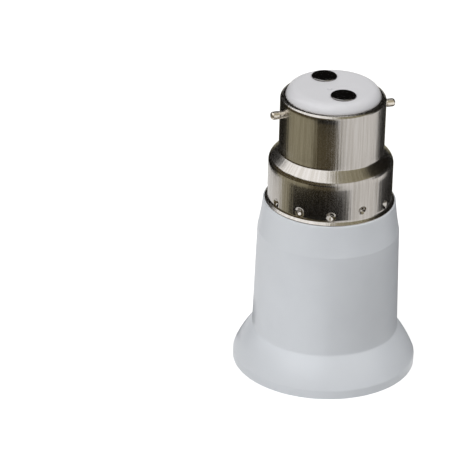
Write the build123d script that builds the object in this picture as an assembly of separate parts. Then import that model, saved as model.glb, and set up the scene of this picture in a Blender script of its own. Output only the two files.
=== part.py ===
from build123d import *
from math import cos, radians, sin, tan
import os

# A lamp socket adapter: a white moulded body with a two-pin bayonet cap at its top and a
# screw socket in its bell mouth. It stands on the mouth's rim. Z is the lamp axis, the
# origin is at the centre of the rim, and X runs along the bayonet pins. Sizes are in mm.

# Screw socket: a sleeve rolled from thin sheet, with a mouth lip and a drawn cup at its end
thread_crest_radius = 12.25
thread_depth = 1.1
thread_pitch = 3.62
thread_length = 12.0
thread_facets = 8
guide_length = 6.6
sleeve_sheet = 0.3
sleeve_lip_width = 0.7
lead_in_length = 0.8
lead_in_relief = 0.08
cup_step = 1.85
cup_depth = 3.0
cup_rounding = 0.5
floor_ring_width = 2.8

# Moulded body
mouth_depth = 9.6
sleeve_clearance = 0.1
lip_clearance = 0.15
rim_wall = 2.0
rim_height = 1.9
rim_rounding = 0.7
rim_foot_rounding = 0.12
bell_flare = 3.88
bell_height = 8.35
bell_bulge = 0.3
crease_rounding = 0.7
throat_bulge = 0.35
barrel_wall = 1.12
barrel_draft = 0.57
barrel_length = 22.65
shoulder_length = 6.9
shoulder_bulge = 0.08
shoulder_bend = 28.0
seat_margin = 0.3
partition = 2.45
neck_length = 8.2
neck_wall = 2.15
neck_chamfer = 0.5

# Bayonet cap, drawn from plated sheet
shell_radius = 11.1
shell_length = 11.3
shell_roll = 0.95
roll_overlap = 1.1
cap_sheet = 0.4
cap_clearance = 0.08
skirt_step = 2.05
skirt_length = 9.45
cone_height = 2.2
cone_outer_bend = 1.8
cone_inner_bend = 0.6
lip_flare = 0.55
lip_bend = 0.45

# Crimp dents that hold the cap's skirt on the body's neck
crimp_count = 12
crimp_turn = 12.2
crimp_height = 1.7
crimp_radius = 1.05
crimp_floor_radius = 0.45
crimp_depth = 0.6
crimp_clearance = 0.12

# Bayonet pins
pin_radius = 0.88
pin_shank_radius = 0.66
pin_reach = 2.55
pin_tip_rounding = 0.55
pin_grip = 0.9
pin_drop = 3.3
pin_clearance = 0.03

# Cap insulator and its two contacts
insulator_clearance = 0.06
insulator_crown = 1.9
insulator_edge_run = 2.05
insulator_plate = 2.4
insulator_wall = 1.3
insulator_skirt = 4.6
contact_radius = 2.7
contact_margin = 0.05
contact_turn = 3.9
contact_thickness = 0.35
contact_chamfer = 0.25
contact_shank_radius = 1.5
contact_shank_length = 5.0
contact_clearance = 0.05

# Centre contact: a sprung strip riveted to the partition
leaf_width = 5.0
leaf_sheet = 0.4
leaf_foot_gap = 0.8
leaf_foot_length = 4.2
leaf_ramp_run = 2.9
leaf_rise = 2.7
leaf_crest_run = 1.5
leaf_tip_run = 1.3
leaf_tip_drop = 0.7
leaf_bend = 0.9

# Rivets and leads behind the partition
rivet_clearance = 0.03
sleeve_rivet_radius = 0.8
sleeve_rivet_head_radius = 1.1
sleeve_rivet_head = 0.6
leaf_rivet_radius = 1.0
leaf_rivet_head_radius = 1.6
leaf_rivet_head = 0.7
rivet_tail = 0.6
rivet_tail_clearance = 0.15
lead_radius = 0.7
lead_stub = 2.0
lead_arrival = 9.0
lead_bend_share = 0.45

# Levels on the lamp axis, worked out from the mouth upwards
thread_end = mouth_depth + thread_length
guide_end = thread_end + guide_length
sleeve_end = guide_end + cup_depth
chamber_floor = sleeve_end + partition
seat_level = bell_height + barrel_length + shoulder_length
neck_top = seat_level + neck_length
skirt_top = seat_level + skirt_length
shell_start = skirt_top + cone_height
shell_top = shell_start + shell_length + shell_roll
plate_top = shell_top + insulator_crown
plate_bottom = plate_top - insulator_plate
pin_level = shell_top - pin_drop
crimp_level = seat_level + crimp_height
shank_end = plate_top - contact_shank_length

# Radii that follow from the pieces they fit
thread_root_radius = thread_crest_radius + thread_depth
lead_in_radius = thread_root_radius + lead_in_relief
pocket_radius = lead_in_radius + sleeve_sheet + sleeve_clearance
lip_radius = lead_in_radius + sleeve_lip_width
throat_radius = lip_radius + lip_clearance
barrel_top_radius = pocket_radius + barrel_wall
bell_root_radius = barrel_top_radius + barrel_draft
mouth_radius = bell_root_radius + bell_flare
cup_radius = thread_crest_radius - cup_step
skirt_radius = shell_radius + skirt_step
cap_lip_radius = skirt_radius + lip_flare
seat_radius = cap_lip_radius + seat_margin
neck_radius = skirt_radius - cap_sheet - cap_clearance
chamber_radius = neck_radius - neck_wall
roll_edge_radius = shell_radius - roll_overlap
insulator_radius = shell_radius - cap_sheet - insulator_clearance
crown_edge_radius = roll_edge_radius - insulator_clearance
insulator_flat_radius = crown_edge_radius - insulator_edge_run
contact_offset = insulator_flat_radius - contact_margin - contact_radius
floor_hole_radius = cup_radius - floor_ring_width
sleeve_rivet_circle = (floor_hole_radius + cup_radius - cup_rounding) / 2
leaf_foot_start = leaf_foot_gap - floor_hole_radius
leaf_rivet_x = leaf_foot_start + leaf_foot_length / 2
across_cap = 2 * skirt_radius


def section(*corners):
    """A closed half section in the XZ plane; a corner is (radius, height[, rounding])."""
    rounding = [corner[2] if len(corner) > 2 else 0 for corner in corners]
    points = [corner[:2] for corner in corners]
    return Plane.XZ * make_face(FilletPolyline(*points, radius=rounding, close=True))


def turned(*corners):
    """The solid that a half section sweeps round the lamp axis."""
    return revolve(section(*corners), Axis.Z)


def column(radius, bottom, top, x=0, y=0):
    """A plain upright cylinder between two levels."""
    return Pos(x, y, bottom) * extrude(Circle(radius), amount=top - bottom)


def moulded_body():
    """Bell mouth, drafted barrel, rounded shoulder and the neck that carries the cap."""
    bell = SagittaArc((mouth_radius, rim_height), (bell_root_radius, bell_height), -bell_bulge)
    barrel = Line(bell @ 1, (barrel_top_radius, bell_height + barrel_length))
    shoulder = SagittaArc(barrel @ 1, (seat_radius, seat_level), -shoulder_bulge)
    inside = Polyline(
        shoulder @ 1,
        (neck_radius, seat_level),
        (neck_radius, neck_top - neck_chamfer),
        (neck_radius - neck_chamfer, neck_top),
        (chamber_radius, neck_top),
        (chamber_radius, chamber_floor),
        (0, chamber_floor),
        (0, sleeve_end),
        (pocket_radius, sleeve_end),
        (pocket_radius, mouth_depth + sleeve_sheet),
        (throat_radius, mouth_depth + sleeve_sheet),
        (throat_radius, mouth_depth),
    )
    mouth_inside = mouth_radius - rim_wall
    throat = SagittaArc(inside @ 1, (mouth_inside, 0), throat_bulge)
    rim = Polyline(throat @ 1, (mouth_radius, 0), bell @ 0)
    half = make_face([bell, barrel, shoulder, inside, throat, rim])
    rounded_corners = (
        (bell @ 0, rim_rounding),
        (throat @ 1, rim_rounding),
        (Vector(mouth_radius, 0), rim_foot_rounding),
        (barrel @ 0, crease_rounding),
        (barrel @ 1, shoulder_bend),
    )
    for corner, rounding in rounded_corners:
        half = fillet(half.vertices().sort_by_distance(corner)[0], rounding)
    body = revolve(Plane.XZ * half, Axis.Z)

    groove_radius = skirt_radius - cap_sheet - crimp_depth - crimp_clearance
    groove_half = crimp_radius + crimp_clearance
    body -= turned(
        (groove_radius, crimp_level - groove_half),
        (skirt_radius, crimp_level - groove_half),
        (skirt_radius, crimp_level + groove_half),
        (groove_radius, crimp_level + groove_half),
    )
    for x, y in sleeve_rivet_places:
        body -= column(sleeve_rivet_radius + rivet_clearance, sleeve_end, chamber_floor, x, y)
        body -= column(sleeve_rivet_head_radius + rivet_tail_clearance, chamber_floor, neck_top, x, y)
    return body - column(leaf_rivet_radius + rivet_clearance, sleeve_end, chamber_floor, leaf_rivet_x)


def screw_sleeve():
    """Sheet sleeve with a rolled right-hand thread, a plain guide stretch and a riveted cup."""
    outer_radius = thread_crest_radius + sleeve_sheet
    lead_in_end = mouth_depth + lead_in_length
    crest_start = lead_in_end + thread_depth
    sleeve = turned(
        (lead_in_radius, mouth_depth),
        (lip_radius, mouth_depth),
        (lip_radius, mouth_depth + sleeve_sheet),
        (lead_in_radius + sleeve_sheet, mouth_depth + sleeve_sheet),
        (lead_in_radius + sleeve_sheet, lead_in_end),
        (outer_radius, crest_start),
        (outer_radius, guide_end + sleeve_sheet, cup_rounding + sleeve_sheet),
        (cup_radius + sleeve_sheet, guide_end + sleeve_sheet, cup_rounding),
        (cup_radius + sleeve_sheet, sleeve_end, cup_rounding + sleeve_sheet),
        (floor_hole_radius, sleeve_end),
        (floor_hole_radius, sleeve_end - sleeve_sheet),
        (cup_radius, sleeve_end - sleeve_sheet, cup_rounding),
        (cup_radius, guide_end, cup_rounding + sleeve_sheet),
        (thread_crest_radius, guide_end, cup_rounding),
        (thread_crest_radius, crest_start),
        (lead_in_radius, lead_in_end),
    )
    bore = turned(
        (0, mouth_depth),
        (lead_in_radius, mouth_depth),
        (lead_in_radius, lead_in_end),
        (thread_crest_radius, crest_start),
        (thread_crest_radius, sleeve_end),
        (0, sleeve_end),
    )
    below_mouth = thread_depth + sleeve_sheet
    path = Helix(
        thread_pitch,
        thread_length + sleeve_sheet,
        thread_crest_radius,
        center=(0, 0, mouth_depth - below_mouth),
    )
    start = Plane(origin=path @ 0, x_dir=(1, 0, 0), z_dir=path % 0)
    half_facet = 180 / thread_facets

    def rolled(depth):
        across = Rot(0, 0, half_facet) * RegularPolygon(depth, thread_facets, major_radius=False)
        return sweep(start * across, path=path, is_frenet=True)

    ridge = rolled(thread_depth + sleeve_sheet) & column(pocket_radius, mouth_depth, sleeve_end)
    sleeve = sleeve + (ridge - bore) - rolled(thread_depth)
    for x, y in sleeve_rivet_places:
        sleeve -= column(sleeve_rivet_radius + rivet_clearance, guide_end, sleeve_end, x, y)
    return sleeve


def crimp_punch(inset):
    """Blunt cone along +X whose tip lies crimp_depth, and the inset, inside the skirt's surface."""
    wide = 2 * crimp_radius - crimp_floor_radius
    cone = Cone(crimp_floor_radius, wide, 2 * crimp_depth)
    return Pos(skirt_radius - inset, 0, crimp_level) * Rot(0, 90, 0) * cone


def cap_shell():
    """Drawn cap: flared lip, skirt with crimp dents, cone, shell and an edge rolled inwards."""
    shell = turned(
        (skirt_radius - cap_sheet, seat_level, lip_bend),
        (cap_lip_radius, seat_level),
        (cap_lip_radius, seat_level + cap_sheet),
        (skirt_radius, seat_level + cap_sheet, lip_bend),
        (skirt_radius, skirt_top, cone_outer_bend),
        (shell_radius, shell_start, cone_inner_bend),
        (shell_radius, shell_top, shell_roll),
        (roll_edge_radius, shell_top),
        (roll_edge_radius, shell_top - cap_sheet),
        (shell_radius - cap_sheet, shell_top - cap_sheet, shell_roll - cap_sheet),
        (shell_radius - cap_sheet, shell_start - cap_sheet, cone_inner_bend + cap_sheet),
        (skirt_radius - cap_sheet, skirt_top - cap_sheet, cone_outer_bend - cap_sheet),
    )
    inside = column(skirt_radius - cap_sheet / 2, seat_level, skirt_top)
    turns = [Rot(0, 0, crimp_turn + 360 / crimp_count * k) for k in range(crimp_count)]
    shell += [turn * (crimp_punch(cap_sheet) & inside) for turn in turns]
    shell -= [turn * crimp_punch(0) for turn in turns]
    pin_hole = Rot(0, 90, 0) * Cylinder(pin_shank_radius + pin_clearance, across_cap)
    return shell - Pos(0, 0, pin_level) * pin_hole


def bayonet_pin():
    """Shouldered pin along +X: rounded outer end, thinner shank through shell and insulator."""
    inner_end = insulator_radius - pin_grip
    half = make_face(
        FilletPolyline(
            (inner_end, 0),
            (shell_radius + pin_reach, 0),
            (shell_radius + pin_reach, pin_radius),
            (shell_radius, pin_radius),
            (shell_radius, pin_shank_radius),
            (inner_end, pin_shank_radius),
            radius=[0, 0, pin_tip_rounding, 0, 0, 0],
            close=True,
        )
    )
    return Pos(0, 0, pin_level) * revolve(half, Axis.X)


def cap_insulator():
    """Domed disc held under the rolled edge, its skirt notched over the pins."""
    shoulder = shell_top - cap_sheet - insulator_clearance
    corner = shell_roll - cap_sheet
    inner_radius = insulator_radius - insulator_wall
    skirt_end = plate_bottom - insulator_skirt
    dome = TangentArc((insulator_flat_radius, plate_top), (crown_edge_radius, shell_top), tangent=(1, 0))
    rest = FilletPolyline(
        (insulator_flat_radius, plate_top),
        (0, plate_top),
        (0, plate_bottom),
        (inner_radius, plate_bottom),
        (inner_radius, skirt_end),
        (insulator_radius, skirt_end),
        (insulator_radius, shoulder),
        (crown_edge_radius, shoulder),
        (crown_edge_radius, shell_top),
        radius=[0, 0, 0, 0, 0, corner, 0],
    )
    insulator = revolve(Plane.XZ * make_face([dome, rest]), Axis.Z)
    notch_radius = pin_shank_radius + pin_clearance
    notch = Pos(0, 0, pin_level) * Rot(0, 90, 0) * Cylinder(notch_radius, across_cap)
    slot_height = pin_level - skirt_end
    notch += Pos(0, 0, pin_level - slot_height / 2) * Box(across_cap, 2 * notch_radius, slot_height)
    insulator -= notch
    for x, y in contact_places:
        insulator -= column(contact_shank_radius + contact_clearance, plate_bottom, plate_top, x, y)
    return insulator


def cap_contact(x, y):
    """Flat round contact on the insulator with a shank down through it."""
    head = column(contact_radius, plate_top, plate_top + contact_thickness, x, y)
    head = chamfer(head.edges().group_by(Axis.Z)[-1], contact_chamfer)
    return head + column(contact_shank_radius, shank_end, plate_top, x, y)


def centre_contact():
    """Sprung strip: a flat foot on the partition, a ramp, a rounded crest and a turned-down tip."""
    foot_end = leaf_foot_start + leaf_foot_length
    crest_start = foot_end + leaf_ramp_run
    crest_end = crest_start + leaf_crest_run
    tip = crest_end + leaf_tip_run
    level = sleeve_end - leaf_sheet / 2
    line = FilletPolyline(
        (leaf_foot_start, level),
        (foot_end, level),
        (crest_start, level - leaf_rise),
        (crest_end, level - leaf_rise),
        (tip, level - leaf_rise + leaf_tip_drop),
        radius=leaf_bend,
    )
    strip = Plane.XZ * offset(line, amount=leaf_sheet / 2, side=Side.BOTH)
    leaf = extrude(make_face(strip), amount=leaf_width / 2, both=True)
    return leaf - column(leaf_rivet_radius + rivet_clearance, level - leaf_sheet, sleeve_end, leaf_rivet_x)


def rivet(x, y, radius, head_radius, head, seat):
    """Domed head under the seat, shank through the partition and a flat tail above it."""
    dome = TangentArc((0, seat - head), (head_radius, seat), tangent=(1, 0))
    rest = Polyline(
        dome @ 1,
        (radius, seat),
        (radius, chamber_floor),
        (head_radius, chamber_floor),
        (head_radius, chamber_floor + rivet_tail),
        (0, chamber_floor + rivet_tail),
        dome @ 0,
    )
    half = make_face([dome, rest])
    return Pos(x, y, 0) * revolve(Plane.XZ * half, Axis.Z)


def lead(start_place, end_place):
    """Insulated wire from a rivet's tail up to the end of a contact's shank."""
    bottom = chamber_floor + rivet_tail
    points = [
        (*start_place, bottom),
        (*start_place, bottom + lead_stub),
        (*end_place, shank_end - lead_arrival),
        (*end_place, shank_end),
    ]
    first, second = (Vector(*b) - Vector(*a) for a, b in zip(points[:2], points[1:3]))
    half_turn = tan(radians(first.get_angle(second) / 2))
    bends = [lead_bend_share * run / half_turn for run in (lead_stub, lead_arrival)]
    path = FilletPolyline(*points, radius=bends)
    return sweep(Plane(origin=path @ 0, z_dir=path % 0) * Circle(lead_radius), path=path)


sleeve_rivet_places = ((0, sleeve_rivet_circle), (0, -sleeve_rivet_circle))
contact_line = radians(90 + contact_turn)
contact_places = [
    (side * contact_offset * cos(contact_line), side * contact_offset * sin(contact_line))
    for side in (1, -1)
]
leaf_rivet_place = (leaf_rivet_x, 0)

pin = bayonet_pin()
pieces = {
    "body": moulded_body(),
    "screw_sleeve": screw_sleeve(),
    "cap_shell": cap_shell(),
    "bayonet_pin_right": pin,
    "bayonet_pin_left": Rot(0, 0, 180) * pin,
    "cap_insulator": cap_insulator(),
    "cap_contact_rear": cap_contact(*contact_places[0]),
    "cap_contact_front": cap_contact(*contact_places[1]),
    "centre_contact": centre_contact(),
    "centre_contact_rivet": rivet(
        *leaf_rivet_place,
        leaf_rivet_radius,
        leaf_rivet_head_radius,
        leaf_rivet_head,
        sleeve_end - leaf_sheet,
    ),
    "sleeve_lead": lead(sleeve_rivet_places[0], contact_places[0]),
    "centre_lead": lead(leaf_rivet_place, contact_places[1]),
}
for name, place in zip(("rear", "front"), sleeve_rivet_places):
    pieces[f"sleeve_rivet_{name}"] = rivet(
        *place,
        sleeve_rivet_radius,
        sleeve_rivet_head_radius,
        sleeve_rivet_head,
        sleeve_end - sleeve_sheet,
    )

os.makedirs("parts", exist_ok=True)
for name, piece in pieces.items():
    export_step(piece, f"parts/{name}.step")
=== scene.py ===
import bmesh
import bpy
from math import atan2, cos, floor, hypot, pi, radians, tan
from mathutils import Matrix, Vector


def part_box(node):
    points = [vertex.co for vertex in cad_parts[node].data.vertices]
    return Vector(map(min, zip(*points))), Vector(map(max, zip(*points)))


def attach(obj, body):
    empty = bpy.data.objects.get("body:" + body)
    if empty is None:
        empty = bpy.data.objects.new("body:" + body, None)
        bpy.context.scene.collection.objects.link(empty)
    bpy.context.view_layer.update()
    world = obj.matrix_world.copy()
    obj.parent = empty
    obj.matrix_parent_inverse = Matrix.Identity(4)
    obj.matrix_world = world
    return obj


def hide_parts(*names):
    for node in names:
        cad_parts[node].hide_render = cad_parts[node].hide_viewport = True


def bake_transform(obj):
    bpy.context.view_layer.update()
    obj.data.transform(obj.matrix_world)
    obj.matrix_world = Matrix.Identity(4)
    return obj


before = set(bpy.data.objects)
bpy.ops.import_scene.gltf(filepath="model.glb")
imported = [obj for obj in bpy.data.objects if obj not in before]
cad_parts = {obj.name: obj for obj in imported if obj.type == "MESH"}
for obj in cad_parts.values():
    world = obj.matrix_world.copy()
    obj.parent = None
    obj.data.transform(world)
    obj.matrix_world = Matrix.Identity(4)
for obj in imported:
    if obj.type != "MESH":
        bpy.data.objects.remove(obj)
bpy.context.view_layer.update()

# Moulded body: one injection-moulded shell of white thermoplastic, with a bell mouth, a drafted
# barrel, a tapered shoulder and the neck that the cap is crimped on. Its skin is satin and its
# mould edges are soft. Sizes here and in the pieces below are in millimetres.
mm = 0.001
body_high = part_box("body")[1]
sleeve_low, sleeve_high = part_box("screw_sleeve")
cap_low, cap_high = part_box("cap_shell")
mouth_radius = body_high.x / mm
neck_top = body_high.z / mm
mouth_depth = sleeve_low.z / mm
sleeve_end = sleeve_high.z / mm
seat_level = cap_low.z / mm
cap_lip_radius = cap_high.x / mm
rim_wall = 2.0
rim_height = 1.9
rim_rounding = 0.7
rim_foot_rounding = 0.12
bell_root_radius = 15.52
bell_height = 8.35
bell_bulge = 0.3
crease_rounding = 0.7
barrel_top_radius = 15.0
shoulder_length = 6.9
shoulder_hollow = 0.1
shoulder_bend = 0.9
seat_margin = 0.3
seat_rounding = 0.25
neck_radius = 12.67
neck_chamfer = 0.5
crimp_height = 1.7
crimp_groove_radius = 12.03
crimp_groove_half = 1.17
chamber_radius = 10.52
partition = 2.45
pocket_radius = 13.83
lip_rebate_radius = 14.28
sleeve_sheet = 0.3
throat_bulge = 0.35
merge_distance = 0.001
sharp_angle = radians(32)
noise_low, noise_high = 0.3, 0.7


def bowed(start, end, bulge, steps=12):
    """Points of a flat arc after its start, up to its end; a positive bulge bows it to the right."""
    run, rise = end[0] - start[0], end[1] - start[1]
    chord = hypot(run, rise)
    points = []
    for step in range(1, steps + 1):
        share = step / steps
        bow = 4 * bulge * share * (1 - share) / chord
        points.append((start[0] + share * run + bow * rise, start[1] + share * rise - bow * run))
    return points


def cut_rows(shape, edges, row):
    """Cuts each edge that is longer than a row into equal stretches."""
    for edge in edges:
        cuts = int(edge.calc_length() / (row * mm))
        if cuts:
            bmesh.ops.subdivide_edges(shape, edges=[edge], cuts=cuts)


def wire(outline, close=True, row=0.8, rounding_steps=8):
    """A half section in the XZ plane with its long stretches cut into rows.

    A corner is (radius, height[, rounding]).
    """
    shape = bmesh.new()
    corners = [shape.verts.new((corner[0] * mm, 0, corner[1] * mm)) for corner in outline]
    for start, end in zip(corners, corners[1:]):
        shape.edges.new((start, end))
    if close:
        shape.edges.new((corners[-1], corners[0]))
    for vert, corner in zip(corners, outline):
        if len(corner) > 2:
            one, other = (edge.other_vert(vert).co - vert.co for edge in vert.link_edges)
            setback = corner[2] * mm / tan(one.angle(other) / 2)
            bmesh.ops.bevel(
                shape, geom=[vert], offset=setback, offset_type="OFFSET", affect="VERTICES",
                segments=rounding_steps, profile=0.5, material=-1,
            )
    cut_rows(shape, shape.edges[:], row)
    return shape


def turn_round(shape, steps, axis=(0, 0, 1), sectors=12):
    """Spins a wire into one sector, repeats that all round and closes the skin, faces outwards."""
    sector = 2 * pi / sectors
    centre = (0, 0, 0)
    bmesh.ops.spin(
        shape, geom=shape.verts[:] + shape.edges[:], cent=centre, axis=axis,
        angle=sector, steps=steps // sectors,
    )
    bmesh.ops.spin(
        shape, geom=shape.verts[:] + shape.edges[:] + shape.faces[:], cent=centre, axis=axis,
        angle=2 * pi - sector, steps=sectors - 1, use_duplicate=True,
    )
    bmesh.ops.remove_doubles(shape, verts=shape.verts, dist=merge_distance * mm)
    bmesh.ops.recalc_face_normals(shape, faces=shape.faces)


def piece(name, shape, material, slot, *replaced):
    """A finished object of the adapter that stands for the named solids."""
    for face in shape.faces:
        face.smooth = True
    mesh = bpy.data.meshes.new(name)
    shape.to_mesh(mesh)
    shape.free()
    mesh.set_sharp_from_angle(angle=sharp_angle)
    mesh.materials.append(material)
    made = bpy.data.objects.new(name, mesh)
    bpy.context.collection.objects.link(made)
    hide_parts(*replaced)
    return made


def node(tree, kind, values=(), **settings):
    """A shader node; values are pairs of a socket and a number, colour or output."""
    made = tree.nodes.new(kind)
    for key, value in settings.items():
        setattr(made, key, value)
    for socket, value in values:
        if isinstance(value, bpy.types.NodeSocket):
            tree.links.new(value, made.inputs[socket])
        else:
            made.inputs[socket].default_value = value
    return made


def finish_of(name):
    """A new material, its node tree and its surface shader."""
    material = bpy.data.materials.new(name)
    material.use_nodes = True
    return material, material.node_tree, material.node_tree.nodes["Principled BSDF"]


def spread(tree, value, low, high):
    """Maps the range that a noise mostly keeps to the range from low to high."""
    ranged = node(
        tree, "ShaderNodeMapRange", [(0, value), (1, noise_low), (2, noise_high), (3, low), (4, high)]
    )
    return ranged.outputs[0]


def blended(tree, share, one, other):
    """A colour between two others."""
    return node(tree, "ShaderNodeMix", [(0, share), (6, one), (7, other)], data_type="RGBA").outputs[2]


def moulded_white(name, deep, light, smooth, rough):
    """White thermoplastic: faint cloudiness, a satin skin with flow marks and a fine mould grain."""
    material, tree, shader = finish_of(name)
    place = node(tree, "ShaderNodeTexCoord").outputs["Object"]
    cloud = node(tree, "ShaderNodeTexNoise", [(0, place), ("Scale", 140), ("Detail", 3)]).outputs[0]
    flow = node(tree, "ShaderNodeTexNoise", [(0, place), ("Scale", 520), ("Detail", 4)]).outputs[0]
    grain = node(tree, "ShaderNodeTexNoise", [(0, place), ("Scale", 4200), ("Detail", 2)]).outputs[0]
    ripple = node(tree, "ShaderNodeBump", [("Strength", 0.06), ("Distance", 4e-5), ("Height", flow)])
    skin = node(
        tree, "ShaderNodeBump",
        [("Strength", 0.15), ("Distance", 6e-6), ("Height", grain), ("Normal", ripple.outputs[0])],
    )
    tree.links.new(blended(tree, spread(tree, cloud, 0, 1), deep, light), shader.inputs["Base Color"])
    tree.links.new(spread(tree, flow, smooth, rough), shader.inputs["Roughness"])
    tree.links.new(skin.outputs[0], shader.inputs["Normal"])
    return material


mouth_inside = mouth_radius - rim_wall
crimp_level = seat_level + crimp_height
chamber_floor = sleeve_end + partition
rebate_level = mouth_depth + sleeve_sheet
bell_foot = (mouth_radius, rim_height)
bell_root = (bell_root_radius, bell_height)
shoulder_foot = (barrel_top_radius, seat_level - shoulder_length)
seat_edge = (cap_lip_radius + seat_margin, seat_level)
throat_top = (lip_rebate_radius, mouth_depth)
body_shape = wire(
    [
        (0, sleeve_end),
        (pocket_radius, sleeve_end),
        (pocket_radius, rebate_level),
        (lip_rebate_radius, rebate_level),
        throat_top,
        *bowed(throat_top, (mouth_inside, 0), -throat_bulge)[:-1],
        (mouth_inside, 0, rim_rounding),
        (mouth_radius, 0, rim_foot_rounding),
        (*bell_foot, rim_rounding),
        *bowed(bell_foot, bell_root, bell_bulge)[:-1],
        (*bell_root, crease_rounding),
        (*shoulder_foot, shoulder_bend),
        *bowed(shoulder_foot, seat_edge, -shoulder_hollow, steps=8)[:-1],
        (*seat_edge, seat_rounding),
        (neck_radius, seat_level),
        (neck_radius, crimp_level - crimp_groove_half),
        (crimp_groove_radius, crimp_level - crimp_groove_half),
        (crimp_groove_radius, crimp_level + crimp_groove_half),
        (neck_radius, crimp_level + crimp_groove_half),
        (neck_radius, neck_top - neck_chamfer),
        (neck_radius - neck_chamfer, neck_top),
        (chamber_radius, neck_top),
        (chamber_radius, chamber_floor),
        (0, chamber_floor),
    ],
    close=False,
)
turn_round(body_shape, steps=192)
body_white = moulded_white(
    "body_white", deep=(0.722, 0.748, 0.783, 1), light=(0.747, 0.773, 0.808, 1), smooth=0.29, rough=0.36
)
moulded_body = piece("moulded_body", body_shape, body_white, "white_moulding", "body")
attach(moulded_body, "adapter")

# Screw sleeve: thin bright brass, rolled with a right-hand lamp thread behind a small mouth lip,
# with a plain guide stretch and a drawn cup at its end. Two rivets hold the cup's floor down.
thread_crest_radius = 12.25
thread_depth = 1.1
thread_pitch = 3.62
thread_length = 12.3
thread_fade = 1.8
thread_row = 0.13
lead_in_radius = 13.43
lead_in_length = 0.8
sleeve_lip_radius = sleeve_high.x / mm
sleeve_lip_rounding = 0.1
cup_radius = 10.4
cup_depth = 3.0
cup_rounding = 0.5
floor_hole_radius = 7.6
near_enough = 0.01

thread_start = mouth_depth - thread_depth - sleeve_sheet
fade_start = thread_start + thread_length
fade_end = fade_start + thread_fade
lead_in_end = mouth_depth + lead_in_length
crest_start = lead_in_end + thread_depth
guide_end = sleeve_end - cup_depth
sleeve_outer_radius = thread_crest_radius + sleeve_sheet
sleeve_shape = wire(
    [
        (lead_in_radius, mouth_depth),
        (sleeve_lip_radius, mouth_depth, sleeve_lip_rounding),
        (sleeve_lip_radius, mouth_depth + sleeve_sheet, sleeve_lip_rounding),
        (lead_in_radius + sleeve_sheet, mouth_depth + sleeve_sheet),
        (lead_in_radius + sleeve_sheet, lead_in_end),
        (sleeve_outer_radius, crest_start),
        (sleeve_outer_radius, fade_end),
        (sleeve_outer_radius, guide_end + sleeve_sheet, cup_rounding + sleeve_sheet),
        (cup_radius + sleeve_sheet, guide_end + sleeve_sheet, cup_rounding),
        (cup_radius + sleeve_sheet, sleeve_end, cup_rounding + sleeve_sheet),
        (floor_hole_radius, sleeve_end),
        (floor_hole_radius, sleeve_end - sleeve_sheet),
        (cup_radius, sleeve_end - sleeve_sheet, cup_rounding),
        (cup_radius, guide_end, cup_rounding + sleeve_sheet),
        (thread_crest_radius, guide_end, cup_rounding),
        (thread_crest_radius, fade_end),
        (thread_crest_radius, crest_start),
        (lead_in_radius, lead_in_end),
    ],
    row=1.2,
)
thread_edges = [
    edge for edge in sleeve_shape.edges
    if all(lead_in_end - near_enough < vert.co.z / mm < fade_end + near_enough for vert in edge.verts)
]
cut_rows(sleeve_shape, thread_edges, thread_row)
turn_round(sleeve_shape, steps=240)
for vert in sleeve_shape.verts:
    level, radius = vert.co.z / mm, hypot(vert.co.x, vert.co.y) / mm
    if lead_in_end <= level <= fade_end:
        angle = atan2(vert.co.y, vert.co.x)
        wave = 0.5 + 0.5 * cos(2 * pi * (level - thread_start) / thread_pitch - angle)
        fade = min(1, max(0, (fade_end - level) / thread_fade))
        base = max(lead_in_radius - max(0, level - lead_in_end), thread_crest_radius)
        sheet = sleeve_sheet if radius > base + sleeve_sheet / 2 else 0
        rolled = max(radius, thread_crest_radius + sheet + thread_depth * wave * fade)
        vert.co.x *= rolled / radius
        vert.co.y *= rolled / radius


def bright_brass(name, deep, light, around, along):
    """Brass with the fine lines of its rolling, drawn out round or along the lamp axis."""
    material, tree, shader = finish_of(name)
    place = node(tree, "ShaderNodeTexCoord").outputs["Object"]
    lines = node(tree, "ShaderNodeMapping", [(0, place), ("Scale", (around, around, along))]).outputs[0]
    drawn = node(tree, "ShaderNodeTexNoise", [(0, lines), ("Scale", 1), ("Detail", 4)]).outputs[0]
    bloom = node(tree, "ShaderNodeTexNoise", [(0, place), ("Scale", 220), ("Detail", 3)]).outputs[0]
    scored = node(tree, "ShaderNodeBump", [("Strength", 0.3), ("Distance", 1e-5), ("Height", drawn)])
    shader.inputs["Metallic"].default_value = 1
    tree.links.new(blended(tree, spread(tree, bloom, 0, 1), deep, light), shader.inputs["Base Color"])
    tree.links.new(spread(tree, drawn, low=0.14, high=0.3), shader.inputs["Roughness"])
    tree.links.new(scored.outputs[0], shader.inputs["Normal"])
    return material


sleeve_brass = bright_brass(
    "sleeve_brass", deep=(0.83, 0.46, 0.08, 1), light=(0.93, 0.58, 0.14, 1), around=250, along=4000
)
brass_sleeve = piece("brass_sleeve", sleeve_shape, sleeve_brass, "sleeve_brass", "screw_sleeve")
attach(brass_sleeve, "adapter")

# Centre contact: a strip of spring brass, bent up from its riveted foot to a rounded crest that
# meets the lamp's tip. The real strip springs at the bend above the foot; here it is built in one rest
# shape.
strip_low, strip_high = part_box("centre_contact")
strip_sheet = 0.4
strip_half_width = strip_high.y / mm
strip_bend = 0.7
foot_length = 4.2
rise_run = 2.9
crest_length = 1.5
crest_height = 2.7
tip_return = 0.7

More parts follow.
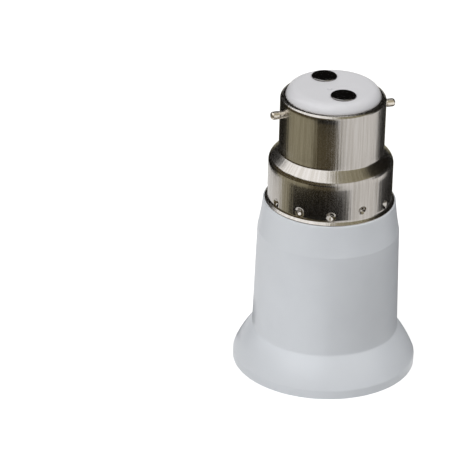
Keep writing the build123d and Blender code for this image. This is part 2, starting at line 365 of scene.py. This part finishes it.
foot_start = strip_low.x / mm
foot_end = foot_start + foot_length
crest_from = foot_end + rise_run
crest_to = crest_from + crest_length
strip_tip = strip_high.x / mm
foot_level = strip_high.z / mm
crest_level = foot_level - crest_height
tip_level = crest_level + tip_return
strip_shape = wire(
    [
        (foot_start, foot_level),
        (foot_end, foot_level, strip_bend),
        (crest_from, crest_level, strip_bend),
        (crest_to, crest_level, strip_bend),
        (strip_tip, tip_level),
    ],
    close=False,
)
bmesh.ops.translate(strip_shape, verts=strip_shape.verts, vec=(0, -strip_half_width * mm, 0))
widened = bmesh.ops.extrude_edge_only(strip_shape, edges=strip_shape.edges)
bmesh.ops.translate(
    strip_shape, vec=(0, 2 * strip_half_width * mm, 0),
    verts=[part for part in widened["geom"] if isinstance(part, bmesh.types.BMVert)],
)
bmesh.ops.recalc_face_normals(strip_shape, faces=strip_shape.faces)
bmesh.ops.solidify(strip_shape, geom=strip_shape.faces[:], thickness=strip_sheet * mm)
bmesh.ops.recalc_face_normals(strip_shape, faces=strip_shape.faces)
spring_brass = bright_brass(
    "spring_brass", deep=(0.66, 0.48, 0.2, 1), light=(0.76, 0.58, 0.28, 1), around=300, along=2500
)
contact_strip = piece("contact_strip", strip_shape, spring_brass, "spring_brass", "centre_contact")
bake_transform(contact_strip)

# Rivets and leads: turned brass rivets hold the strip and the sleeve's floor on the partition, and
# two short insulated wires run from their tails to the cap's contacts, closed in by the cap.
rivet_brass = bright_brass(
    "rivet_brass", deep=(0.7, 0.55, 0.26, 1), light=(0.8, 0.66, 0.36, 1), around=900, along=900
)
wire_white = moulded_white(
    "wire_white", deep=(0.68, 0.67, 0.64, 1), light=(0.74, 0.73, 0.7, 1), smooth=0.45, rough=0.6
)
for finish, names in (
    (rivet_brass, ("centre_contact_rivet", "sleeve_rivet_rear", "sleeve_rivet_front")),
    (wire_white, ("sleeve_lead", "centre_lead")),
):
    for name in names:
        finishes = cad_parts[name].data.materials
        finishes.clear()
        finishes.append(finish)

# Bayonet cap: one drawn shell of nickel-plated sheet, with an edge rolled in over the insulator, a
# cone, a skirt and a flared lip. Twelve punched dents crimp the skirt into the neck's groove, and
# the punch didn't strike them all at one height.
cap_sheet = 0.4
shell_radius = 11.1
shell_roll = 0.95
roll_edge_radius = 10.0
roll_edge_rounding = 0.15
skirt_radius = 13.15
skirt_height = 9.45
cone_height = 2.2
cone_outer_bend = 1.8
cone_inner_bend = 0.6
lip_bend = 0.45
lip_edge = 0.16
lip_edge_rounding = 0.06
lip_rise = 0.74
lip_hollow = 0.8
crimp_count = 12
crimp_pitch = 2 * pi / crimp_count
crimp_turn = radians(12.2)
crimp_radius = 1.1
crimp_depth = 0.6
crimp_lifts = (0.3, 0.6, 0.2, 0.35, 0.5, 0.3, 0.15, 0.4, 0.22, 0.9, 0.22, 0.45)
crimp_band = 2.1
crimp_row = 0.13
streak_changes = 90

shell_top = cap_high.z / mm
skirt_top = seat_level + skirt_height
shell_start = skirt_top + cone_height
crimp_band_top = crimp_level + crimp_band
cap_shape = wire(
    [
        (skirt_radius - cap_sheet, seat_level, lip_bend),
        (cap_lip_radius, seat_level, lip_edge_rounding),
        (cap_lip_radius, seat_level + lip_edge, lip_edge_rounding),
        (skirt_radius, seat_level + lip_rise, lip_hollow),
        (skirt_radius, crimp_band_top),
        (skirt_radius, skirt_top, cone_outer_bend),
        (shell_radius, shell_start, cone_inner_bend),
        (shell_radius, shell_top, shell_roll),
        (roll_edge_radius, shell_top, roll_edge_rounding),
        (roll_edge_radius, shell_top - cap_sheet, roll_edge_rounding),
        (shell_radius - cap_sheet, shell_top - cap_sheet, shell_roll - cap_sheet),
        (shell_radius - cap_sheet, shell_start - cap_sheet, cone_inner_bend + cap_sheet),
        (skirt_radius - cap_sheet, skirt_top - cap_sheet, cone_outer_bend - cap_sheet),
        (skirt_radius - cap_sheet, crimp_band_top),
    ],
    row=1.0,
)
crimp_edges = [
    edge for edge in cap_shape.edges
    if max(vert.co.z for vert in edge.verts) < (crimp_band_top + near_enough) * mm
]
cut_rows(cap_shape, crimp_edges, crimp_row)
turn_round(cap_shape, steps=456)
for vert in cap_shape.verts:
    radius = hypot(vert.co.x, vert.co.y) / mm
    turn = (atan2(vert.co.y, vert.co.x) - crimp_turn) / crimp_pitch
    nearest = floor(turn + 0.5)
    level = vert.co.z / mm - crimp_level - crimp_lifts[nearest % crimp_count]
    aside = (turn - nearest) * crimp_pitch * skirt_radius
    share = min(1, hypot(aside, level) / crimp_radius)
    pressed = radius - crimp_depth * (0.5 + 0.5 * cos(pi * share))
    vert.co.x *= pressed / radius
    vert.co.y *= pressed / radius


def drawn_nickel(name, deep, light, lines, smooth, rough, spread_round):
    """Nickel plate over drawn sheet, whose lines along the axis spread reflections round it."""
    material, tree, shader = finish_of(name)
    place = node(tree, "ShaderNodeTexCoord").outputs["Object"]
    flat = node(tree, "ShaderNodeVectorMath", [(0, place), (1, (1, 1, 0))], operation="MULTIPLY")
    unit = node(tree, "ShaderNodeVectorMath", [(0, flat.outputs[0])], operation="NORMALIZE")
    rise = node(
        tree, "ShaderNodeVectorMath", [(0, place), (1, (0, 0, streak_changes))], operation="MULTIPLY"
    )
    round_axis = node(
        tree, "ShaderNodeVectorMath", [(0, (0, 0, 1)), (1, unit.outputs[0])], operation="CROSS_PRODUCT"
    )
    tangent = node(
        tree, "ShaderNodeVectorTransform", [(0, round_axis.outputs[0])],
        vector_type="VECTOR", convert_from="OBJECT", convert_to="WORLD",
    )

    def streaks(count, detail):
        ring = node(
            tree, "ShaderNodeVectorMath", [(0, unit.outputs[0]), ("Scale", count)], operation="SCALE"
        )
        seat = node(tree, "ShaderNodeVectorMath", [(0, ring.outputs[0]), (1, rise.outputs[0])])
        return node(
            tree, "ShaderNodeTexNoise", [(0, seat.outputs[0]), ("Scale", 1), ("Detail", detail)]
        ).outputs[0]

    fine, middle, broad = streaks(lines, 3), streaks(lines / 3, 2), streaks(lines / 10, 2)
    wave = node(tree, "ShaderNodeBump", [("Strength", 0.4), ("Distance", 5e-5), ("Height", broad)])
    drawn = node(
        tree, "ShaderNodeBump",
        [("Strength", 1), ("Distance", 3.2e-5), ("Height", middle), ("Normal", wave.outputs[0])],
    )
    scored = node(
        tree, "ShaderNodeBump",
        [("Strength", 1), ("Distance", 6e-6), ("Height", fine), ("Normal", drawn.outputs[0])],
    )
    shader.inputs["Metallic"].default_value = 1
    shader.inputs["Anisotropic"].default_value = spread_round
    tree.links.new(tangent.outputs[0], shader.inputs["Tangent"])
    tree.links.new(blended(tree, spread(tree, middle, 0, 1), deep, light), shader.inputs["Base Color"])
    tree.links.new(spread(tree, fine, smooth, rough), shader.inputs["Roughness"])
    tree.links.new(scored.outputs[0], shader.inputs["Normal"])
    return material


cap_nickel = drawn_nickel(
    "cap_nickel", deep=(0.45, 0.42, 0.38, 1), light=(0.55, 0.52, 0.49, 1),
    lines=80, smooth=0.16, rough=0.2, spread_round=0.9,
)
bayonet_cap = piece("bayonet_cap", cap_shape, cap_nickel, "cap_nickel", "cap_shell")
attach(bayonet_cap, "adapter")

# Bayonet pins: two turned and plated pins, pressed through the shell and headed inside it, each
# with a faint waist at the shell and a rounded outer end.
pin_radius = 0.88
pin_shank_radius = 0.66
pin_waist_radius = 0.78
pin_waist_length = 0.55
pin_waist_ramp = 0.3
pin_waist_rounding = 0.3
pin_tip_rounding = 0.55
pin_nickel = drawn_nickel(
    "pin_nickel", deep=(0.76, 0.7, 0.61, 1), light=(0.85, 0.79, 0.7, 1),
    lines=300, smooth=0.3, rough=0.42, spread_round=0,
)
waist_end = shell_radius + pin_waist_length
for name, bearing in (("right", 0), ("left", pi)):
    pin_low, pin_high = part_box(f"bayonet_pin_{name}")
    pin_level = (pin_low.z + pin_high.z) / 2
    inner_end, outer_end = sorted((abs(pin_low.x) / mm, abs(pin_high.x) / mm))
    pin_shape = wire(
        [
            (inner_end, 0),
            (inner_end, pin_shank_radius),
            (shell_radius, pin_shank_radius),
            (shell_radius, pin_waist_radius),
            (waist_end, pin_waist_radius, pin_waist_rounding),
            (waist_end + pin_waist_ramp, pin_radius, pin_waist_rounding),
            (outer_end, pin_radius, pin_tip_rounding),
            (outer_end, 0),
        ],
        close=False, row=0.3,
    )
    turn_round(pin_shape, steps=48, axis=(1, 0, 0))
    bmesh.ops.transform(
        pin_shape, verts=pin_shape.verts,
        matrix=Matrix.Translation((0, 0, pin_level)) @ Matrix.Rotation(bearing, 4, "Z"),
    )
    pin = piece(f"side_pin_{name}", pin_shape, pin_nickel, "pin_nickel", f"bayonet_pin_{name}")
    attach(pin, "adapter")

# Cap insulator: a domed disc of glossy white plastic, held under the shell's rolled edge, with a
# skirt inside the shell. The two contacts are pressed through its flat top, and the gate left a
# faint round mark between them.
insulator_low, insulator_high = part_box("cap_insulator")
insulator_radius = insulator_high.x / mm
insulator_skirt_end = insulator_low.z / mm
insulator_wall = 1.3
plate_top = insulator_high.z / mm
plate_thickness = 2.4
crown_edge_radius = 9.94
roll_clearance = 0.06
flat_radius = 7.89
edge_bulge = 0.55
gate_place = (-1.24 * mm, -1.0 * mm, plate_top * mm)
gate_inner_radius = 0.4
gate_outer_radius = 0.6

plate_bottom = plate_top - plate_thickness
insulator_shoulder = shell_top - cap_sheet - roll_clearance
crown_edge = (crown_edge_radius, shell_top)
insulator_shape = wire(
    [
        (0, plate_bottom),
        (insulator_radius - insulator_wall, plate_bottom),
        (insulator_radius - insulator_wall, insulator_skirt_end),
        (insulator_radius, insulator_skirt_end),
        (insulator_radius, insulator_shoulder, shell_roll - cap_sheet),
        (crown_edge_radius, insulator_shoulder),
        crown_edge,
        *bowed(crown_edge, (flat_radius, plate_top), edge_bulge, steps=16),
        (0, plate_top),
    ],
    close=False,
)
turn_round(insulator_shape, steps=168)
insulator_white = moulded_white(
    "insulator_white", deep=(0.755, 0.75, 0.77, 1), light=(0.775, 0.77, 0.79, 1), smooth=0.2, rough=0.25
)
insulator_tree = insulator_white.node_tree
insulator_shader = insulator_tree.nodes["Principled BSDF"]
insulator_shader.inputs["Specular IOR Level"].default_value = 0.32
insulator_place = node(insulator_tree, "ShaderNodeTexCoord").outputs["Object"]
gate_away = node(
    insulator_tree, "ShaderNodeVectorMath", [(0, insulator_place), (1, gate_place)], operation="DISTANCE"
).outputs["Value"]
gate_pit = node(
    insulator_tree, "ShaderNodeMapRange",
    [(0, gate_away), (1, gate_inner_radius * mm), (2, gate_outer_radius * mm), (3, 0), (4, 1)],
).outputs[0]
gate_mark = node(
    insulator_tree, "ShaderNodeBump",
    [
        ("Strength", 1), ("Distance", 1e-4), ("Height", gate_pit),
        ("Normal", insulator_shader.inputs["Normal"].links[0].from_socket),
    ],
)
insulator_tree.links.new(gate_mark.outputs[0], insulator_shader.inputs["Normal"])
domed_insulator = piece(
    "domed_insulator", insulator_shape, insulator_white, "insulator_white", "cap_insulator"
)
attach(domed_insulator, "adapter")

# Cap contacts: two flat round studs of polished metal on the insulator's top. Their metal colour is
# painted dark as a painted dark reflection, and they also mirror the dark cards round the stage. Their
# shanks go down through it to the leads.
contact_radius = 2.7
contact_shank_radius = 1.5
contact_edge = 0.25
dish_radius = 1.7
dish_ramp = 0.3
dish_depth = 0.02
dish_rounding = 0.2


def polished_stud(name, centre):
    """Metal faced on a lathe, with faint rings round its own centre and smears, its colour painted dark
    as a dark reflection.
    """
    material, tree, shader = finish_of(name)
    place = node(tree, "ShaderNodeTexCoord").outputs["Object"]
    about = node(tree, "ShaderNodeMapping", [(0, place), ("Location", -centre)]).outputs[0]
    rings = node(
        tree, "ShaderNodeTexWave", [(0, about), ("Scale", 700), ("Distortion", 0.6)],
        wave_type="RINGS", rings_direction="Z",
    ).outputs[1]
    smear = node(tree, "ShaderNodeTexNoise", [(0, place), ("Scale", 900), ("Detail", 4)]).outputs[0]
    # Painted dark reflection: the metal's own colour is held dark so that the studs look black from any
    # side.
    painted_dark_tint = blended(tree, spread(tree, smear, 0, 1), (0.22, 0.21, 0.21, 1), (0.31, 0.3, 0.29, 1))
    turned = node(tree, "ShaderNodeBump", [("Strength", 0.25), ("Distance", 1e-5), ("Height", rings)])
    shader.inputs["Metallic"].default_value = 1
    tree.links.new(painted_dark_tint, shader.inputs["Base Color"])
    tree.links.new(spread(tree, smear, low=0.12, high=0.22), shader.inputs["Roughness"])
    tree.links.new(turned.outputs[0], shader.inputs["Normal"])
    return material


for name in ("rear", "front"):
    contact_low, contact_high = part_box(f"cap_contact_{name}")
    contact_centre = (contact_low + contact_high) / 2
    shank_end = contact_low.z / mm
    face_level = contact_high.z / mm
    contact_shape = wire(
        [
            (0, shank_end),
            (contact_shank_radius, shank_end),
            (contact_shank_radius, plate_top),
            (contact_radius, plate_top),
            (contact_radius, face_level, contact_edge),
            (dish_radius + dish_ramp, face_level),
            (dish_radius, face_level - dish_depth, dish_rounding),
            (0, face_level - dish_depth),
        ],
        close=False, row=0.4,
    )
    turn_round(contact_shape, steps=96)
    bmesh.ops.translate(
        contact_shape, verts=contact_shape.verts, vec=(contact_centre.x, contact_centre.y, 0)
    )
    contact = piece(
        f"contact_disc_{name}", contact_shape, polished_stud(f"contact_{name}", contact_centre),
        "contact_metal", f"cap_contact_{name}",
    )
    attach(contact, "adapter")

# Floor: a plain sheet of white paper that keeps the shadow and is clear from below, so that the
# mouth can be seen. The stage is set out in metres in the photograph's frame, X to the right and Y
# away from the camera, and then turned to where the pins stand.
part_turn = Matrix.Rotation(radians(-20.0), 4, "Z")
floor_size = 3.0
floor_gap = 0.00005


def shown_share(tree):
    """One for camera, glossy and transmission rays, else nought."""
    path = node(tree, "ShaderNodeLightPath").outputs
    share = path["Is Camera Ray"]
    for ray in ("Is Glossy Ray", "Is Transmission Ray"):
        share = node(tree, "ShaderNodeMath", [(0, share), (1, path[ray])], operation="MAXIMUM").outputs[0]
    return share


def stage_piece(name, shape, material):
    """A piece of the stage from a mesh in the photograph's frame."""
    bmesh.ops.transform(shape, verts=shape.verts, matrix=part_turn)
    mesh = bpy.data.meshes.new(name)
    shape.to_mesh(mesh)
    shape.free()
    mesh.materials.append(material)
    made = bpy.data.objects.new(name, mesh)
    bpy.context.collection.objects.link(made)
    return made


floor_material, floor_tree, floor_shader = finish_of("floor_white")
floor_shader.inputs["Base Color"].default_value = (0.7, 0.7, 0.7, 1)
floor_shader.inputs["Roughness"].default_value = 1
floor_shader.inputs["Specular IOR Level"].default_value = 0
pale = node(floor_tree, "ShaderNodeBsdfDiffuse", [("Color", (0.4, 0.4, 0.4, 1))])
glow = node(floor_tree, "ShaderNodeEmission", [("Strength", 0.84)])
paper = node(floor_tree, "ShaderNodeAddShader", [(0, pale.outputs[0]), (1, glow.outputs[0])])
floor_mix = node(
    floor_tree, "ShaderNodeMixShader",
    [(0, shown_share(floor_tree)), (1, floor_shader.outputs[0]), (2, paper.outputs[0])],
)
clear = node(floor_tree, "ShaderNodeBsdfTransparent")
from_below = node(
    floor_tree, "ShaderNodeMath", operation="MAXIMUM",
    values=[
        (0, node(floor_tree, "ShaderNodeNewGeometry").outputs["Backfacing"]),
        (1, node(floor_tree, "ShaderNodeLightPath").outputs["Is Shadow Ray"]),
    ],
)
one_sided = node(
    floor_tree, "ShaderNodeMixShader",
    [(0, from_below.outputs[0]), (1, floor_mix.outputs[0]), (2, clear.outputs[0])],
)
floor_tree.links.new(one_sided.outputs[0], floor_tree.nodes["Material Output"].inputs["Surface"])
floor_material.cycles.emission_sampling = "NONE"
floor_shape = bmesh.new()
bmesh.ops.create_grid(floor_shape, x_segments=1, y_segments=1, size=floor_size)
bmesh.ops.translate(floor_shape, verts=floor_shape.verts, vec=(0, 0, -floor_gap))
stage_piece("floor_sheet", floor_shape, floor_material)

# Studio cards: glowing cards of one tone round the stage that only reflections see. They are painted
# reflections:
# dark flags and curtains paint dark reflections in the metal, the white card paints the floor, and bright
# panels paint the soft boxes' highlights. They lie just over the floor, hang as a wall or close the top.
# Bearings run from the camera's side in degrees, to the right if positive.
paper_lift = 0.0002
card_lift = 0.0004
paper_reach = 2.5
foot_reach = 0.0195
barrel_reach = 0.066
skirt_reach = 0.068
shell_reach = 0.108
shell_top_reach = 0.138
left_reach = 0.17
wall_reach = 1.1
wall_foot = 0.005
middle_reach = 0.01
canopy_split = 0.75
canopy_height = 1.35
canopy_back_height = 1.36
card_steps = 24


def card_tone(name, colour, strength=1):
    """Studio card that glows in one tone wherever it hangs and takes no light: a painted reflection."""
    material, tree, shader = finish_of(name)
    shader.inputs["Base Color"].default_value = (0, 0, 0, 1)
    shader.inputs["Roughness"].default_value = 1
    shader.inputs["Specular IOR Level"].default_value = 0
    shader.inputs["Emission Color"].default_value = (*colour, 1)
    shader.inputs["Emission Strength"].default_value = strength
    material.cycles.emission_sampling = "NONE"
    return material


def hung_card(name, tone, first, last, near, far):
    """A card swept from one bearing to another, between two (distance, height) edges."""
    shape = bmesh.new()
    ends = [shape.verts.new((0, -reach, height)) for reach, height in (near, far)]
    bmesh.ops.spin(
        shape, geom=[*ends, shape.edges.new(ends)], cent=(0, 0, 0), axis=(0, 0, 1),
        angle=radians(last - first), steps=card_steps,
    )
    bmesh.ops.rotate(
        shape, verts=shape.verts, cent=(0, 0, 0), matrix=Matrix.Rotation(radians(first), 3, "Z")
    )
    card = stage_piece(name, shape, tone)
    card.visible_camera = False
    card.visible_diffuse = False
    card.visible_shadow = False


# Painted reflections: the tones that the cards glow with in the metal's reflections.
black_card = card_tone("black_card", (0.012, 0.011, 0.01))
dark_card = card_tone("dark_card", (0.11, 0.09, 0.05))
olive_card = card_tone("olive_card", (0.42, 0.39, 0.28))
white_card = card_tone("white_card", (0.95, 0.95, 0.95))
painted_highlight_card = card_tone("painted_highlight_card", (0.97, 0.98, 1), strength=1.6)
hung_card("card_paper", white_card, -180, 180, (foot_reach, paper_lift), (paper_reach, paper_lift))
for name, tone, first, last, near, far in (
    ("card_skirt", black_card, -74, 34, skirt_reach, shell_reach),
    ("card_skirt_edge", olive_card, -95, -74, skirt_reach, shell_reach),
    ("card_shell", dark_card, -36, 15, shell_reach, shell_top_reach),
    ("card_shell_top", black_card, -36, 14, shell_top_reach, wall_reach),
    ("card_left", olive_card, -105, -36, shell_reach, left_reach),
    ("card_far_left", dark_card, -105, -36, left_reach, wall_reach),
    ("card_back_left", black_card, -160, -105, 0.102, wall_reach),
    ("card_foot_left", black_card, -180, -112, foot_reach, 0.033),
    ("card_right", black_card, 95, 160, barrel_reach, shell_reach),
    ("card_back_right", black_card, 112, 160, shell_reach, wall_reach),
    ("card_rear", olive_card, 160, 200, barrel_reach, wall_reach),
    ("card_foot_right", black_card, 94, 180, foot_reach, barrel_reach),
    ("card_barrel", dark_card, 2, 94, 0.03, barrel_reach),
):
    hung_card(name, tone, first, last, (near, card_lift), (far, card_lift))
for name, tone, first, last, low, high in (
    ("curtain_left", dark_card, -113, 8, wall_foot, 0.6),
    ("curtain_right", olive_card, 8, 86, 0.55, canopy_height),
    ("curtain_back", black_card, 86, 162, wall_foot, canopy_height),
    ("curtain_rear", black_card, 162, 198, 0.15, canopy_height),
    ("curtain_back_left", black_card, 198, 247, wall_foot, canopy_height),
):
    hung_card(name, tone, first, last, (wall_reach, low), (wall_reach, high))
for name, tone, first, last, near, far, height in (
    ("canopy", olive_card, 20, 86, middle_reach, wall_reach, canopy_height),
    ("canopy_front", black_card, 2, 20, middle_reach, canopy_split, canopy_height),
    ("canopy_front_low", olive_card, 2, 20, canopy_split, wall_reach, canopy_height),
    ("canopy_back", black_card, 86, 247, middle_reach, wall_reach, canopy_back_height),
):
    hung_card(name, tone, first, last, (near, height), (far, height))
canopy_middle = (middle_reach, canopy_height)
# Painted highlights: bright glowing panels stand in for the soft boxes' faces in reflections, since the
# lamps are hidden from them.
hung_card("key_face", painted_highlight_card, -88, 2, (wall_reach, 0.62), canopy_middle)
hung_card("key_side", painted_highlight_card, -113, -88, (wall_reach, 0.42), canopy_middle)
hung_card("key_back", painted_highlight_card, 100, 165, canopy_middle, (0.5, canopy_height))

# Surround and lamps: plain white all round for what the camera and reflections see, four soft boxes
# that give the light, and a small spot under the floor that lights the socket through its mouth.
lamp_aim = Vector((0, 0, 0.03))
mouth_drop = 0.25

world = bpy.data.worlds.new("surround")
bpy.context.scene.world = world
world.use_nodes = True
world.cycles.sampling_method = "NONE"
surround = world.node_tree.nodes["Background"]
surround.inputs["Color"].default_value = (1, 1, 1, 1)
world.node_tree.links.new(shown_share(world.node_tree), surround.inputs["Strength"])


def softbox(name, place, width, height, power):
    """A soft lamp at a place in the photograph's frame, facing the adapter."""
    lamp = bpy.data.lights.new(name, "AREA")
    lamp.shape = "RECTANGLE"
    lamp.size = width
    lamp.size_y = height
    lamp.energy = power
    made = bpy.data.objects.new(name, lamp)
    bpy.context.collection.objects.link(made)
    heading = (lamp_aim - Vector(place)).to_track_quat("-Z", "Y").to_matrix().to_4x4()
    made.matrix_world = part_turn @ Matrix.Translation(place) @ heading
    made.visible_glossy = False


softbox("key_lamp", (-0.42, -0.6, 0.66), width=1.0, height=0.7, power=7.3)
softbox("right_lamp", (0.66, 0.24, 0.73), width=0.7, height=0.7, power=4.3)
softbox("top_lamp", (0, -0.1, 1.05), width=0.8, height=0.8, power=1.6)
softbox("back_lamp", (-0.1, 0.96, 0.3), width=0.8, height=0.5, power=2.6)
mouth_lamp = bpy.data.lights.new("mouth_lamp", "SPOT")
mouth_lamp.energy = 3.0
mouth_lamp.shadow_soft_size = 0.03
mouth_lamp.spot_blend = 0.2
mouth_lamp.spot_size = 2 * atan2(mouth_inside * mm, mouth_drop)
mouth_spot = bpy.data.objects.new("mouth_lamp", mouth_lamp)
mouth_spot.visible_glossy = False
bpy.context.collection.objects.link(mouth_spot)
mouth_spot.matrix_world = Matrix.Translation((0, 0, -mouth_drop)) @ Matrix.Rotation(pi, 4, "X")

# Camera: a long lens at the photograph's viewing angle, well above the cap and dipped towards it,
# with the photograph's slight turn and roll.
camera_place = Vector((0, -0.7567, 0.4108))
camera_yaw = radians(1.49)
camera_dip = radians(26.817)
camera_roll = radians(1.627)
camera_data = bpy.data.cameras.new("camera")
camera_data.lens = 306.4
camera_data.sensor_width = 36
camera_data.clip_start = 0.01
camera = bpy.data.objects.new("camera", camera_data)
bpy.context.collection.objects.link(camera)
camera.matrix_world = (
    part_turn
    @ Matrix.Translation(camera_place)
    @ Matrix.Rotation(camera_yaw, 4, "Z")
    @ Matrix.Rotation(pi / 2 - camera_dip, 4, "X")
    @ Matrix.Rotation(camera_roll, 4, "Z")
)
bpy.context.scene.camera = camera
bpy.context.scene.view_settings.view_transform = "Standard"
